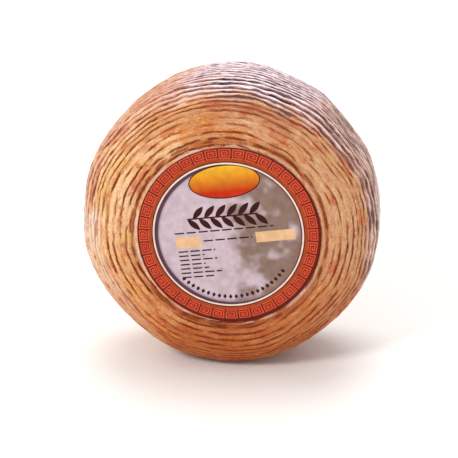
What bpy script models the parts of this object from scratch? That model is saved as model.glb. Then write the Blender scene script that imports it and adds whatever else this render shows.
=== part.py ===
"""Whole basket-pressed pecorino standing on its rim, with a round paper label on its face.

Metres, +Z up. The wheel's axis runs along Y and the label faces -Y. The origin is on the
floor under the middle of the cheese. The rind carries the ridges of the reeds of the
basket it was pressed in, and the rim has a small flat where the wheel rests.
"""

import math

import bmesh
import bpy
from mathutils import Vector, noise

MM = 0.001

# Wheel, as cut across its thickness
WHEEL_RADIUS = 100 * MM
WHEEL_THICKNESS = 90 * MM
FRONT_CORNER = 25 * MM
BACK_CORNER = 20 * MM
RIM_BULGE = 3 * MM
FACE_DOME = 1.5 * MM
FACE_SADDLE = 0.8 * MM
FACE_LEAN = 0.4 * MM

# Reed ridges pressed into the rind
RIDGES_FROM = 62 * MM
FACE_PITCH = 4.4 * MM
RIM_PITCH = 5.2 * MM
FACE_GROOVE = 0.7 * MM
RIM_GROOVE = 1.7 * MM
SHALLOW_SHARE = 0.6
CREST_UNEVEN = 0.25 * MM
RIDGE_WANDER = 0.45 * MM
BACK_EYE = 6 * MM

# Where the basket pulled the outline straight: from and to in degrees, and how far the
# outline goes towards the straight line between them
OUTLINE_FLATS = (
    (24, 54, 0.7),
    (54, 78, 0.75),
    (100, 150, 0.12),
    (160, 190, 0.4),
    (198, 243, 0.25),
    (288, 336, 0.2),
)
FLAT_SOFTENING = 3.5
FLAT_SAMPLES = 5

# Where the wheel rests
FLAT_DEPTH = 0.8 * MM
PRESSED_HEIGHT = 3 * MM

# Paper label
LABEL_RADIUS = 60 * MM
LABEL_THICKNESS = 0.6 * MM
LABEL_GAP = 0.3 * MM
LABEL_CLEAR = 0.8 * MM
LABEL_RIGHT = 2.5 * MM

# Mesh
SEGMENTS = 60
PLAIN_RINGS = (0, 20 * MM, 40 * MM, 57 * MM)
LABEL_RINGS = (0, 20 * MM, 40 * MM, LABEL_RADIUS)
WELD = 0.01 * MM

# The wheel's middle, which puts the middle of the whole part's box over the origin
WHEEL_MIDDLE = Vector((-0.5 * MM, 0.38 * MM, WHEEL_RADIUS - FLAT_DEPTH))

RIND_COLOUR = (0.72, 0.42, 0.20, 1.0)
LABEL_COLOUR = (0.55, 0.42, 0.40, 1.0)


def smooth_step(low, high, value):
    """Rise smoothly from 0 at low to 1 at high."""
    share = min(max((value - low) / (high - low), 0.0), 1.0)
    return share * share * (3.0 - 2.0 * share)


def section_stretches():
    """Lengths of the front face, front corner, rim, back corner and back face."""
    inner = WHEEL_RADIUS - RIM_BULGE
    return (
        inner - FRONT_CORNER,
        FRONT_CORNER * math.pi / 2,
        WHEEL_THICKNESS - FRONT_CORNER - BACK_CORNER,
        BACK_CORNER * math.pi / 2,
        inner - BACK_CORNER,
    )


def section_length():
    """Length of the section from the middle of the front to the middle of the back."""
    return sum(section_stretches())


def straight_section(along):
    """Radius and depth, with flat faces and a flat rim, at a length along the section."""
    front, front_bend, rim, back_bend, _ = section_stretches()
    inner = WHEEL_RADIUS - RIM_BULGE
    half = WHEEL_THICKNESS / 2
    if along < front:
        return along, -half
    along -= front
    if along < front_bend:
        turn = along / FRONT_CORNER
        return (
            inner - FRONT_CORNER + FRONT_CORNER * math.sin(turn),
            -half + FRONT_CORNER - FRONT_CORNER * math.cos(turn),
        )
    along -= front_bend
    if along < rim:
        return inner, -half + FRONT_CORNER + along
    along -= rim
    if along < back_bend:
        turn = along / BACK_CORNER
        return (
            inner - BACK_CORNER + BACK_CORNER * math.cos(turn),
            half - BACK_CORNER + BACK_CORNER * math.sin(turn),
        )
    return inner - BACK_CORNER - (along - back_bend), half


def crowned_section(along):
    """Radius and depth with the rim bulged and the faces domed."""
    radius, depth = straight_section(along)
    side = -2 * depth / WHEEL_THICKNESS
    share = radius / (WHEEL_RADIUS - RIM_BULGE)
    bulge = RIM_BULGE * math.cos(math.pi / 2 * side) * share
    return radius + bulge, depth - side * FACE_DOME * (1 - share * share)


def section_normal(along):
    """Outward direction, as radius and depth, at a length along the section."""
    step = 0.5 * MM
    ahead = crowned_section(min(along + step, section_length()))
    behind = crowned_section(max(along - step, 0.0))
    run = Vector((ahead[0] - behind[0], ahead[1] - behind[1])).normalized()
    return run.y, -run.x


def sharp_dip(degrees):
    """How far the outline lies inside the full circle, with sharp corners."""
    for start, end, share in OUTLINE_FLATS:
        if start < degrees % 360 < end:
            half = math.radians(end - start) / 2
            away = math.radians(degrees % 360 - start) - half
            return share * WHEEL_RADIUS * (1 - math.cos(half) / math.cos(away))
    return 0.0


def outline_dip(angle):
    """How far the outline lies inside the full circle, with its corners softened."""
    total = 0.0
    for sample in range(FLAT_SAMPLES):
        share = 2 * sample / (FLAT_SAMPLES - 1) - 1
        total += sharp_dip(math.degrees(angle) + FLAT_SOFTENING * share)
    return total / FLAT_SAMPLES


def face_unevenness(right, up):
    """Depth of the face's saddle and lean at a place on it."""
    saddle = FACE_SADDLE * 2 * right * up / WHEEL_RADIUS**2
    return saddle + FACE_LEAN * up / WHEEL_RADIUS


def plain_place(along, angle):
    """Place on the wheel without its ridges, about the wheel's middle."""
    radius, depth = crowned_section(along)
    radius -= outline_dip(angle) * radius / WHEEL_RADIUS
    right, up = radius * math.cos(angle), radius * math.sin(angle)
    side = -2 * depth / WHEEL_THICKNESS
    return Vector((right, depth + side * face_unevenness(right, up), up))


def ridge_pitch(along):
    """Width of one ridge at a length along the section."""
    outward = abs(section_normal(along)[0])
    return FACE_PITCH + (RIM_PITCH - FACE_PITCH) * smooth_step(0.5, 1.0, outward)


def ring_places():
    """Each ring's length along the section, and its groove's number or None on a crest."""
    rings = [(along, None) for along in PLAIN_RINGS]
    along, groove = RIDGES_FROM, 0
    while along < section_length() - BACK_EYE:
        rings.append((along, groove))
        half_pitch = ridge_pitch(along) / 2
        rings.append((along + half_pitch, None))
        along += 2 * half_pitch
        groove += 1
    rings.append((section_length(), None))
    return rings


def clear_of_label(place):
    """0 under the label and at its edge, rising to 1 on the open rind."""
    away = Vector((place.x - LABEL_RIGHT, place.z)).length
    if place.y > 0:
        return 1.0
    return smooth_step(LABEL_RADIUS + LABEL_CLEAR, LABEL_RADIUS + LABEL_CLEAR + 3 * MM, away)


def ridge_height(along, angle, groove):
    """Height of a crest or a groove over the plain rind, before it is pressed flat."""
    outward = abs(section_normal(along)[0])
    if groove is None:
        spot = Vector((math.cos(angle) * 4, along / (9 * MM), math.sin(angle) * 4))
        return CREST_UNEVEN * noise.noise(spot)
    depth = FACE_GROOVE + (RIM_GROOVE - FACE_GROOVE) * outward
    step = round(angle / (2 * math.pi / SEGMENTS))
    crossed = (groove + step) % 2 == 0
    return -depth * (SHALLOW_SHARE if crossed else 1.0)


def rind_place(along, angle, groove):
    """Place on the finished rind, about the wheel's middle."""
    plain = plain_place(along, angle)
    open_rind = clear_of_label(plain)
    if groove is not None or open_rind > 0:
        spot = Vector((math.cos(angle) * 2, along / (30 * MM), math.sin(angle) * 2))
        along += RIDGE_WANDER * open_rind * noise.noise(spot)
        along = min(along, section_length())
        plain = plain_place(along, angle)
    floor = FLAT_DEPTH - WHEEL_RADIUS
    above_floor = smooth_step(0.0, PRESSED_HEIGHT, plain.z - floor)
    outward, backward = section_normal(along)
    height = ridge_height(along, angle, groove) * open_rind * above_floor
    place = plain + height * Vector(
        (outward * math.cos(angle), backward, outward * math.sin(angle))
    )
    place.z = max(place.z, floor)
    return place


def turned_solid(rings):
    """Closed round mesh about Y. Each ring is a radius, a depth and a mark kept on it."""
    mesh = bmesh.new()
    mark = mesh.verts.layers.int.new("ring")
    outline = []
    for number, (radius, depth) in enumerate(rings):
        corner = mesh.verts.new((radius, depth, 0.0))
        corner[mark] = number
        outline.append(corner)
    edges = [mesh.edges.new(pair) for pair in zip(outline, outline[1:])]
    bmesh.ops.spin(
        mesh,
        geom=outline + edges,
        cent=(0, 0, 0),
        axis=(0, 1, 0),
        angle=2 * math.pi,
        steps=SEGMENTS,
        use_merge=True,
    )
    bmesh.ops.remove_doubles(mesh, verts=mesh.verts, dist=WELD)
    return mesh, mark


def finish_solid(name, mesh, material):
    """Turn a closed bmesh into a named, smooth object with its material."""
    for corner in mesh.verts:
        corner.co += WHEEL_MIDDLE
    bmesh.ops.triangulate(mesh, faces=mesh.faces)
    bmesh.ops.recalc_face_normals(mesh, faces=mesh.faces)
    data = bpy.data.meshes.new(name)
    mesh.to_mesh(data)
    mesh.free()
    data.shade_smooth()
    data.materials.append(material)
    piece = bpy.data.objects.new(name, data)
    bpy.context.scene.collection.objects.link(piece)
    return piece


def make_wheel(material):
    """The cheese, one solid with its ridges as relief."""
    rings = ring_places()
    mesh, mark = turned_solid([straight_section(along) for along, _ in rings])
    for corner in mesh.verts:
        along, groove = rings[corner[mark]]
        angle = math.atan2(corner.co.z, corner.co.x)
        corner.co = rind_place(along, angle, groove)
    return finish_solid("cheese_wheel", mesh, material)


def make_label(material):
    """The paper disc, which follows the face a small gap in front of it."""
    lifts = (LABEL_GAP, LABEL_GAP + LABEL_THICKNESS)
    rings = [(radius, -lifts[0]) for radius in LABEL_RINGS]
    rings += [(radius, -lifts[1]) for radius in reversed(LABEL_RINGS)]
    mesh, _ = turned_solid(rings)
    for corner in mesh.verts:
        lift = -corner.co.y
        right, up = corner.co.x + LABEL_RIGHT, corner.co.z
        angle = math.atan2(up, right)
        flat_radius = math.hypot(right, up) / (1 - outline_dip(angle) / WHEEL_RADIUS)
        face = plain_place(flat_radius, angle)
        corner.co = (right, face.y - lift, up)
    return finish_solid("label", mesh, material)


def plain_material(name, colour, roughness):
    """A Principled material of one colour."""
    material = bpy.data.materials.new(name)
    material.use_nodes = True
    shader = material.node_tree.nodes["Principled BSDF"]
    shader.inputs["Base Color"].default_value = colour
    shader.inputs["Roughness"].default_value = roughness
    shader.inputs["Metallic"].default_value = 0.0
    return material


for thing in list(bpy.data.objects):
    bpy.data.objects.remove(thing)

make_wheel(plain_material("oiled_rind", RIND_COLOUR, 0.45))
make_label(plain_material("printed_paper", LABEL_COLOUR, 0.5))
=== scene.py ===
"""Looks of a whole basket-pressed pecorino standing on its rim, with its round paper label.

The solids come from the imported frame. The rind is a finely ridged mesh in the place of the
plain wheel, and the label a printed paper disc in the place of the plain one.
"""

from __future__ import annotations

import logging
import math
from dataclasses import dataclass, field
from enum import Enum
from typing import Any, Mapping, Sequence

import bmesh
import bpy
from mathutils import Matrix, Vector, noise

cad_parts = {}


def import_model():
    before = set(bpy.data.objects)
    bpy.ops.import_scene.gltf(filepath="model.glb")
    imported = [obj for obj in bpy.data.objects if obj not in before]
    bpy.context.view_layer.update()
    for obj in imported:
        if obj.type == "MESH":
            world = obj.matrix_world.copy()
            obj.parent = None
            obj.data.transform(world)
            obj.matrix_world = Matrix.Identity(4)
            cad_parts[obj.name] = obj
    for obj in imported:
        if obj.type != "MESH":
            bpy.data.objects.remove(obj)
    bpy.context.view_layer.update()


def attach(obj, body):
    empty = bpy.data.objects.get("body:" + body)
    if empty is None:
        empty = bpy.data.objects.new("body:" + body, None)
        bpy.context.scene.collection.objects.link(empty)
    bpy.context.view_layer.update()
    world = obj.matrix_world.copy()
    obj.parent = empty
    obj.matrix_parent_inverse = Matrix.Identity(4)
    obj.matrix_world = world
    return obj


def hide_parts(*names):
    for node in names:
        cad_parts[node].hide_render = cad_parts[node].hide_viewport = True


log = logging.getLogger("pecorino")

MM = 0.001

Tree = bpy.types.NodeTree
Node = bpy.types.Node
Values = dict[str, Any]
Pair = tuple[float, float]

# The rind's vector attributes, and what each of their parts holds
RIND_PARTS: dict[str, tuple[str, ...]] = {
    "ridge": ("cosine", "sine", "strength"),
    "wear": ("rubbed", "oiled", "tarnished"),
    "rim": ("bloom", "flush", "crown"),
    "paste": ("collar", "grime", "wax"),
    # Share of the left corner that is painted pale as a rim light
    "pale": ("faint",),
}


def smooth_step(low: float, high: float, value: float) -> float:
    """Rise smoothly from 0 at low to 1 at high.

    Args:
        low: Value up to which the result is 0.
        high: Value from which the result is 1.
        value: Where on the rise to look.

    Returns:
        The share from 0 to 1.
    """
    share = min(max((value - low) / (high - low), 0.0), 1.0)
    return share * share * (3.0 - 2.0 * share)


def rise_and_fall(rise: Pair, fall: Pair, value: float) -> float:
    """Share that rises from 0 to 1 between two values and falls again between two more."""
    return smooth_step(*rise, value) - smooth_step(*fall, value)


def blend(start: float, end: float, share: float) -> float:
    """Value a share of the way from start to end."""
    return start + (end - start) * share


def linear(hex_colour: str) -> tuple[float, float, float, float]:
    """Turn an sRGB hex colour into linear red, green, blue and alpha.

    Args:
        hex_colour: Six hex digits.

    Returns:
        The four shares.
    """
    steps = [int(hex_colour[i : i + 2], 16) / 255 for i in (0, 2, 4)]
    low = [s / 12.92 if s <= 0.04045 else ((s + 0.055) / 1.055) ** 2.4 for s in steps]
    return (low[0], low[1], low[2], 1.0)


def plug(tree: Tree, node: Node, inputs: Mapping[str, Any] | Sequence[Any]) -> None:
    """Fill or link the inputs of a node.

    Args:
        tree: Node tree that holds the node.
        node: The node.
        inputs: Values by the inputs' names, or in their order. Each is a plain value, a hex
            colour, a socket, or a node whose first output in use is linked.
    """
    named = inputs if isinstance(inputs, dict) else dict(enumerate(inputs))
    for key, value in named.items():
        found = [socket for socket in node.inputs if socket.enabled and socket.name == key]
        target = found[0] if found else node.inputs[key]
        if isinstance(value, Node):
            value = next(socket for socket in value.outputs if socket.enabled)
        if isinstance(value, bpy.types.NodeSocket):
            tree.links.new(value, target)
        else:
            target.default_value = linear(value) if isinstance(value, str) else value


def add_node(tree: Tree, kind: str, inputs: Any = (), **settings: Any) -> Node:
    """Add a node with its settings, and fill or link its inputs.

    Args:
        tree: Node tree that gets the node.
        kind: Blender's name of the node type.
        inputs: The inputs, as plug takes them.
        **settings: Attributes of the node and their values.

    Returns:
        The new node.
    """
    node = tree.nodes.new(kind)
    for name, value in settings.items():
        setattr(node, name, value)
    plug(tree, node, inputs)
    return node


class Sum(Enum):
    """Ways to work a value out from others: a node's type and its settings."""

    PLUS = ("ShaderNodeMath", {"operation": "ADD"})
    MINUS = ("ShaderNodeMath", {"operation": "SUBTRACT"})
    TIMES = ("ShaderNodeMath", {"operation": "MULTIPLY"})
    SHARE = ("ShaderNodeMath", {"operation": "MULTIPLY", "use_clamp": True})
    TIMES_PLUS = ("ShaderNodeMath", {"operation": "MULTIPLY_ADD"})
    ANGLE = ("ShaderNodeMath", {"operation": "ARCTAN2"})
    SIZE = ("ShaderNodeMath", {"operation": "ABSOLUTE"})
    RANGE = ("ShaderNodeMapRange", {"interpolation_type": "LINEAR"})
    FADE = ("ShaderNodeMapRange", {"interpolation_type": "SMOOTHSTEP"})


def work_out(tree: Tree, values: Values, steps: Sequence[tuple[Any, ...]]) -> None:
    """Add values that are worked out from others.

    Args:
        tree: Node tree that gets the nodes.
        values: Values by name, which takes the new ones.
        steps: For each new value its name, its Sum, and the names or numbers it starts from.
            A range has the value, from where to where it runs, and what it becomes.
    """
    for name, how, *sources in steps:
        kind, settings = how.value
        inputs = [values.get(source, source) for source in sources]
        values[name] = add_node(tree, kind, inputs, **settings)


@dataclass(frozen=True)
class Coat:
    """A coat of colour that covers more and more as a value goes from start to full.

    Each part is a name among the values of a material, or a number or a hex colour.
    """

    value: str
    start: float | str
    full: float
    ink: str
    most: float | str = 1.0
    blend: str = "MIX"


def lay_coats(tree: Tree, values: Values, ground: str, coats: Sequence[Coat]) -> Node:
    """Lay coats of colour over a ground, each over the ones before it.

    Args:
        tree: Node tree that gets the nodes.
        values: Values by name.
        ground: The lowest colour, as hex or as a name among the values.
        coats: The coats from the lowest to the top one.

    Returns:
        The colour of them all.
    """
    top = values.get(ground, ground)
    for coat in coats:
        cover = (coat.value, coat.start, coat.full, 0.0, coat.most)
        work_out(tree, values, [("cover", Sum.FADE, *cover)])
        both = {"Factor": values["cover"], "A": top, "B": values.get(coat.ink, coat.ink)}
        top = add_node(tree, "ShaderNodeMix", both, data_type="RGBA", blend_type=coat.blend)
    return top


def new_material(name: str) -> tuple[bpy.types.Material, Tree, Node]:
    """Make a material.

    Args:
        name: Its name.

    Returns:
        The material, its node tree and its Principled shader.
    """
    material = bpy.data.materials.new(name)
    material.use_nodes = True
    tree = material.node_tree
    return material, tree, tree.nodes["Principled BSDF"]


def new_object(name: str, data: bpy.types.ID) -> bpy.types.Object:
    """Make an object of a mesh, a light or a camera.

    Args:
        name: Its name.
        data: What it shows.

    Returns:
        The object, linked to the scene.
    """
    made = bpy.data.objects.new(name, data)
    bpy.context.scene.collection.objects.link(made)
    return made


def finish_piece(
    name: str, mesh: bmesh.types.BMesh, materials: list[bpy.types.Material]
) -> bpy.types.Object:
    """Turn a closed bmesh into a smooth object at the origin that rides on the body.

    Args:
        name: Name of the piece.
        mesh: Its mesh, already in place. It is freed.
        materials: Its finishes, in the order of the faces' material numbers.

    Returns:
        The new object.
    """
    bmesh.ops.recalc_face_normals(mesh, faces=mesh.faces)
    data = bpy.data.meshes.new(name)
    mesh.to_mesh(data)
    mesh.free()
    data.shade_smooth()
    for material in materials:
        data.materials.append(material)
    piece = new_object(name, data)
    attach(piece, "root")
    log.info("%s: %d faces", name, len(data.polygons))
    return piece


def turned(profile: Sequence[Pair], steps: int) -> tuple[bmesh.types.BMesh, Any]:
    """Spin a profile about Y, with each vertex marked by its number in the profile.

    Args:
        profile: Radius and depth of each point.
        steps: How many steps the full turn takes.

    Returns:
        The mesh and the layer that holds the marks.
    """
    mesh = bmesh.new()
    mark = mesh.verts.layers.int.new("ring")
    outline = []
    for number, (radius, depth) in enumerate(profile):
        corner = mesh.verts.new((radius, depth, 0.0))
        corner[mark] = number
        outline.append(corner)
    edges = [mesh.edges.new(pair) for pair in zip(outline, outline[1:])]
    bmesh.ops.spin(
        mesh,
        geom=outline + edges,
        cent=(0, 0, 0),
        axis=(0, 1, 0),
        angle=2 * math.pi,
        steps=steps,
        use_merge=True,
    )
    bmesh.ops.remove_doubles(mesh, verts=mesh.verts, dist=0.005 * MM)
    return mesh, mark


@dataclass(frozen=True)
class WheelForm:
    """Shape of the wheel without its ridges, about the wheel's middle.

    The section runs from the middle of the front face over the rim to the middle of the
    back. The basket pulled the outline straight between some directions.
    """

    radius: float = 100 * MM
    thickness: float = 90 * MM
    front_corner: float = 25 * MM
    back_corner: float = 20 * MM
    rim_bulge: float = 3 * MM
    face_dome: float = 1.5 * MM
    face_saddle: float = 0.8 * MM
    face_lean: float = 0.4 * MM
    flat_depth: float = 0.8 * MM
    # From and to in degrees, and how far the outline goes towards the straight line
    outline_flats: tuple[tuple[float, float, float], ...] = (
        (24, 54, 0.7),
        (54, 78, 0.75),
        (100, 150, 0.12),
        (160, 190, 0.4),
        (198, 243, 0.25),
        (288, 336, 0.2),
    )
    flat_softening: float = 3.5
    flat_samples: int = 5

    @property
    def middle(self) -> Vector:
        """Where the wheel's middle stands in the object's frame."""
        return Vector((-0.5 * MM, 0.38 * MM, self.radius - self.flat_depth))

    @property
    def floor(self) -> float:
        """Height of the floor about the wheel's middle."""
        return self.flat_depth - self.radius

    @property
    def length(self) -> float:
        """Length of the section."""
        bends = (self.front_corner + self.back_corner) * (math.pi / 2 - 2)
        return 2 * (self.radius - self.rim_bulge) + self.thickness + bends

    def straight_section(self, along: float) -> Pair:
        """Section with flat faces and a flat rim, worked out from the nearer face's middle.

        Args:
            along: Length along the section.

        Returns:
            Radius and depth there.
        """
        side, bend, rest = -1, self.front_corner, along
        if along > self.length / 2:
            side, bend, rest = 1, self.back_corner, self.length - along
        inner, half = self.radius - self.rim_bulge, self.thickness / 2
        turn = (rest - inner + bend) / bend
        if turn < 0:
            return rest, side * half
        if turn < math.pi / 2:
            depth = half - bend * (1 - math.cos(turn))
            return inner - bend * (1 - math.sin(turn)), side * depth
        return inner, side * (half - bend * (1 + turn - math.pi / 2))

    def section(self, along: float) -> Pair:
        """Section with the rim bulged and the faces domed.

        Args:
            along: Length along the section.

        Returns:
            Radius and depth there.
        """
        radius, depth = self.straight_section(along)
        side = -2 * depth / self.thickness
        share = radius / (self.radius - self.rim_bulge)
        bulge = self.rim_bulge * math.cos(math.pi / 2 * side) * share
        return radius + bulge, depth - side * self.face_dome * (1 - share * share)

    def section_normal(self, along: float) -> Pair:
        """Outward direction of the section.

        Args:
            along: Length along the section.

        Returns:
            The direction as radius and depth.
        """
        step = 0.5 * MM
        ahead = self.section(min(along + step, self.length))
        behind = self.section(max(along - step, 0.0))
        run = Vector((ahead[0] - behind[0], ahead[1] - behind[1])).normalized()
        return run.y, -run.x

    def outline_dip(self, angle: float) -> float:
        """How far the outline lies inside the full circle, with its corners softened.

        Args:
            angle: Direction about the axis.

        Returns:
            The distance.
        """
        total = 0.0
        for sample in range(self.flat_samples):
            share = 2 * sample / (self.flat_samples - 1) - 1
            degrees = (math.degrees(angle) + self.flat_softening * share) % 360
            for start, end, depth in self.outline_flats:
                half = math.radians(end - start) / 2
                away = math.radians(degrees - start) - half
                if abs(away) < half:
                    total += depth * self.radius * (1 - math.cos(half) / math.cos(away))
        return total / self.flat_samples

    def place(self, section: Pair, angle: float, dip: float) -> Vector:
        """Place on the plain wheel, from a place on its section and a direction.

        Args:
            section: Radius and depth.
            angle: Direction about the axis.
            dip: How far the outline lies inside the full circle there.

        Returns:
            The place about the wheel's middle.
        """
        radius, depth = section
        radius -= dip * radius / self.radius
        right, up = radius * math.cos(angle), radius * math.sin(angle)
        side = -2 * depth / self.thickness
        saddle = self.face_saddle * 2 * right * up / self.radius**2
        lean = self.face_lean * up / self.radius
        return Vector((right, depth + side * (saddle + lean), up))

    def front_depth(self, right: float, up: float) -> float:
        """Depth of the front face.

        Args:
            right: Distance to the right of the wheel's middle.
            up: Height above it.

        Returns:
            The depth there.
        """
        angle = math.atan2(up, right)
        dip = self.outline_dip(angle)
        flat_radius = math.hypot(right, up) / (1 - dip / self.radius)
        return self.place(self.section(flat_radius), angle, dip).y


@dataclass(frozen=True)
class Splice:
    """A place where one more ridge starts, and where it ends again further round."""

    along: float
    angle: float
    span: float
    climb: float
    turn: int


@dataclass(frozen=True)
class ReedRidges:
    """Ridges that the reeds of the basket pressed into the rind.

    On the faces they are flat bands with thin broken grooves, on the corners fine ropes, and
    on the rim thicker ropes with deep grooves.
    """

    face_pitch: float = 4.4 * MM
    corner_pitch: float = 2.9 * MM
    rim_pitch: float = 5.6 * MM
    # How far outwards the rind faces where the corner's, the rim's and the sag's share grows
    corner_from: Pair = (0.3, 0.58)
    rim_from: Pair = (0.6, 1.05)
    sag_from: Pair = (0.7, 1.0)
    # Depth of a groove as a share of the pitch
    face_groove: float = 0.18
    rim_groove: float = 0.36
    rings_per_ridge: int = 7
    face_width: float = 0.14
    rim_width: float = 0.2
    crest_uneven: float = 0.3 * MM
    lump: float = 0.3 * MM
    pit: float = 0.45 * MM
    wander: float = 0.28
    shiver: float = 0.12
    corner_shiver: float = 0.16
    # Where the rim's ridges sag inwards: from and to in degrees, and how far
    sags: tuple[tuple[float, float, float], ...] = ((25, 62, 0.8 * MM), (62, 112, 2.6 * MM))
    splice_count: int = 10
    splice_span: Pair = (14 * MM, 40 * MM)
    splice_climb: float = 1.5 * MM
    splice_reach: float = 32 * MM
    seed: int = 20

    def pitch(self, outward: float) -> float:
        """Width of one ridge, from how far the rind there faces outwards."""
        near = blend(self.face_pitch, self.corner_pitch, smooth_step(*self.corner_from, outward))
        return blend(near, self.rim_pitch, smooth_step(*self.rim_from, outward))

    def sag_phase(self, angle: float, outward: float) -> float:
        """How many ridges the rim's pattern sags inwards by, where the basket was creased.

        Args:
            angle: Direction about the axis.
            outward: How far the rind there faces outwards.

        Returns:
            The number of ridges.
        """
        rise = smooth_step(*self.sag_from, outward)
        for start, end, depth in self.sags:
            share = (math.degrees(angle) - start) / (end - start)
            if 0 < share < 1:
                return rise * depth / self.rim_pitch * math.sin(math.pi * share)
        return 0.0

    def splices(self, start: float, end: float) -> list[Splice]:
        """Seeded places where ridges start and end.

        Args:
            start: Length along the section from which they lie.
            end: Length up to which they lie.

        Returns:
            The splices.
        """
        noise.seed_set(self.seed)
        climb = self.splice_climb
        made = []
        for number in range(self.splice_count):
            made.append(
                Splice(
                    along=blend(start, end, (number + noise.random()) / self.splice_count),
                    angle=noise.random() * 2 * math.pi,
                    span=blend(*self.splice_span, noise.random()),
                    climb=blend(-climb, climb, noise.random()),
                    turn=1 if noise.random() > 0.5 else -1,
                )
            )
        return made

    def splice_phase(self, splice: Splice, along: float, angle: float, radius: float) -> float:
        """How many ridges a splice shifts the pattern by.

        Args:
            splice: The splice.
            along: Length along the section.
            angle: Direction about the axis.
            radius: Distance from the axis.

        Returns:
            The number of ridges.
        """
        across = along - splice.along
        round_about = math.remainder(angle - splice.angle, 2 * math.pi) * radius
        away = math.hypot(across, round_about) - splice.span / 2
        if away > self.splice_reach:
            return 0.0
        first = complex(across + splice.climb, round_about + splice.span / 2)
        second = complex(across - splice.climb, round_about - splice.span / 2)
        turned_by = first * second.conjugate()
        shift = math.atan2(turned_by.imag, turned_by.real) / (2 * math.pi)
        fade = 1 - smooth_step(self.splice_reach * 0.3, self.splice_reach, away)
        return splice.turn * shift * fade


@dataclass(frozen=True)
class Ring:
    """One ring of the rind's mesh: where it lies along the section and what it carries."""

    along: float
    section: Pair
    normal: Pair
    phase: float


@dataclass(frozen=True)
class Spot:
    """A place on the rind: its ring, its place without relief and its direction."""

    ring: Ring
    plain: Vector
    angle: float

    @property
    def outward(self) -> float:
        """How far the rind faces away from the axis, from 0 on a face to 1 on the rim."""
        return abs(self.ring.normal[0])

    @property
    def normal(self) -> Vector:
        """Outward direction of the rind without relief."""
        out, back = self.ring.normal
        return Vector((out * math.cos(self.angle), back, out * math.sin(self.angle)))

    def facing(self, side: float) -> float:
        """How far it looks to a side of the wheel, from -1 to 1."""
        return math.cos(self.angle - side)

    def aside(self, side: float) -> float:
        """Angle between it and a side of the wheel."""
        return abs(math.remainder(self.angle - side, 2 * math.pi))

    def patch(self, size: float) -> float:
        """Noise from -1 to 1 whose patches have a size."""
        return noise.noise(self.plain / size)

    def dash(self, size: Pair) -> float:
        """Noise from -1 to 1 whose dashes have a length and a width across the ridges."""
        length, width = size
        across = self.ring.along / width
        return noise.noise(Vector((self.plain.x / length, across, self.plain.z / length)))


@dataclass(frozen=True)
class Pattern:
    """Noise whose patches have a length along the ridges and a width across them.

    A pattern by rows is even across each ridge and changes from one ridge to the next.
    """

    length: float
    width: float
    detail: float = 2.0
    by_rows: bool = False
    roughness: float = 0.6


@dataclass(frozen=True)
class Layer:
    """A colour that lies over the ones before it, where a pattern's noise is high.

    The pull is added to the noise where the rind has most of the named wear or painted light, and
    so gathers the colour on that side of the cheese.
    """

    pattern: str
    start: float
    full: float
    colour: str
    most: float = 1.0
    wear: str = "rubbed"
    pull: float = 0.0


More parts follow.
